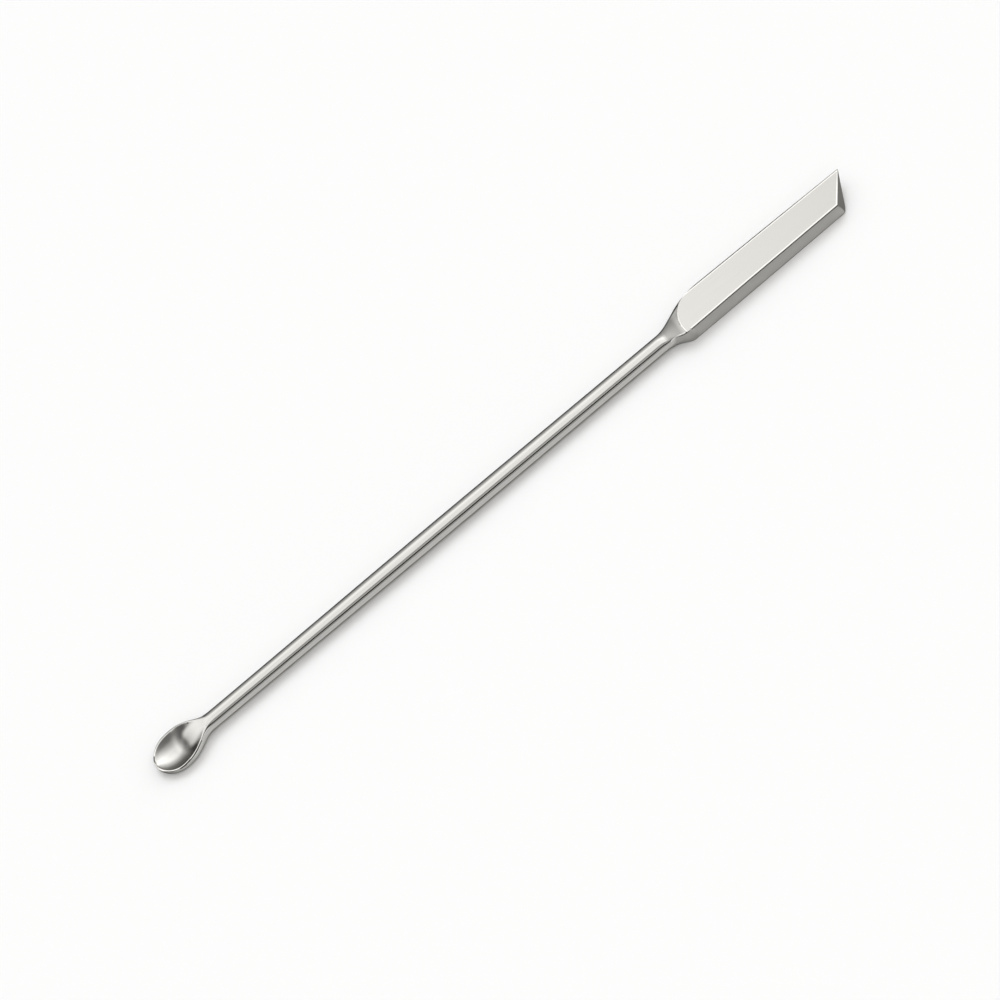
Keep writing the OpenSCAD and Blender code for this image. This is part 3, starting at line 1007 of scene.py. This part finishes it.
lamps = (lamp("key", 25, 63, 32, KEY, (0.97, 1.0, 1.07)),
         lamp("fill", 182, 42, 40, FILL, (1.0, 0.995, 0.985)))
print("lamps:", {sun.name: round(sun.data.energy, 2) for sun in lamps})

# %% [markdown]
# ## The studio round the bar
#
# The steel mirrors the studio, which is an arch of soft light over the bar. Along the arch, from
# the camera's side over the top to the far side, stand a low panel, a dark gap that draws the
# thin line along the rod, and the large bright panel overhead. Beyond the two ends of the bar
# the arch has no gap, so that from other sides the metal looks evenly lit.

# %% Arch of light
world = bpy.data.worlds.new("studio")
bpy.context.scene.world = world
world.use_nodes = True


def ramp_of(value, stops, tint=(1, 1, 1)):
    ramp = world.node_tree.nodes.new("ShaderNodeValToRGB")
    ramp.color_ramp.interpolation = "LINEAR"
    elements = ramp.color_ramp.elements
    for place, level in stops:
        element = elements[-int(place)] if place in (0, 1) else elements.new(place)
        element.color = (*(level * part for part in tint), 1)
    plug(world, ramp.inputs["Fac"], value)
    return ramp.outputs["Color"]


def arch_of(stops):
    """Levels over the half turn, in degrees from the camera's side over the top."""
    return ramp_of(over_top, [(degrees / 180, level) for degrees, level in stops],
                   (1, 0.992, 0.972))


sky_x, sky_y, sky_z = (coordinate(world, "Generated", axis) for axis in "XYZ")
over_top = worked(world, "ARCTAN2", sky_z, worked(world, "MULTIPLY", sky_y, -1))
over_top = worked(world, "DIVIDE", over_top, math.pi)
HIGH = [(61, 1.03), (100, 1.06), (112, 1.18), (128, 1.24), (140, 0.86), (150, 0.56),
        (166, 0.44), (173, 0.35)]
LOW_WITH_GAP = [(0, 0.62), (11, 0.62), (16.5, 0.42), (19.5, 0.0), (31.5, 0.0), (35, 0.52),
                (40, 0.53), (46, 0.4), (54, 0.27)]
LOW_OPEN = [(0, 0.62), (35, 0.55), (42, 0.5), (54, 0.4)]
arch = arch_of(LOW_WITH_GAP + HIGH + [(178, 0.02), (180, 0.02)])
open_arch = arch_of(LOW_OPEN + HIGH + [(180, 0.35)])
beside = ranged(world, worked(world, "ABSOLUTE", sky_x), 0.3, 0.5, 0, 1)
studio = mixed(world, "RGBA", beside, arch, open_arch)
print("dark gap from %.1f to %.1f degrees" % tuple(d for d, v in LOW_WITH_GAP if v == 0))

# %% [markdown]
# Along the bar the arch is brighter past the blade and fades past the spoon, which gives the
# nose and the ramp their different greys. Beyond the edge of the bench the camera sees plain
# white, so that a low view has a white background too. The steel still mirrors the studio.

# %% Fade along the bar
BEHIND = (0.97, 0.97, 0.965, 1)
ALONG = [(-1, 0.2), (-0.85, 0.25), (-0.77, 0.42), (-0.68, 0.62), (-0.6, 0.92), (-0.5, 1.0),
         (-0.42, 0.97), (-0.32, 0.86), (-0.2, 0.93), (0, 1.0), (0.2, 1.06), (0.45, 1.18),
         (0.7, 1.3), (1, 1.3)]
along = worked(world, "MULTIPLY_ADD", sky_x, 0.5, 0.5)
fade = ramp_of(along, [(x / 2 + 0.5, level) for x, level in ALONG])
seen = world.node_tree.nodes.new("ShaderNodeLightPath").outputs["Is Camera Ray"]
sky = world.node_tree.nodes["Background"]
plug(world, sky.inputs["Color"], mixed(world, "RGBA", seen, studio, BEHIND))
plug(world, sky.inputs["Strength"], mixed(world, "FLOAT", seen, fade, 1.0))
bpy.context.scene.view_settings.view_transform = "Standard"
print("view transform:", bpy.context.scene.view_settings.view_transform)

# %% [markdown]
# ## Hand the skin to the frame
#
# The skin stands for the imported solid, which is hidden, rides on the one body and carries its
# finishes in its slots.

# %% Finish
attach(spatula, "root")
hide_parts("spatula")
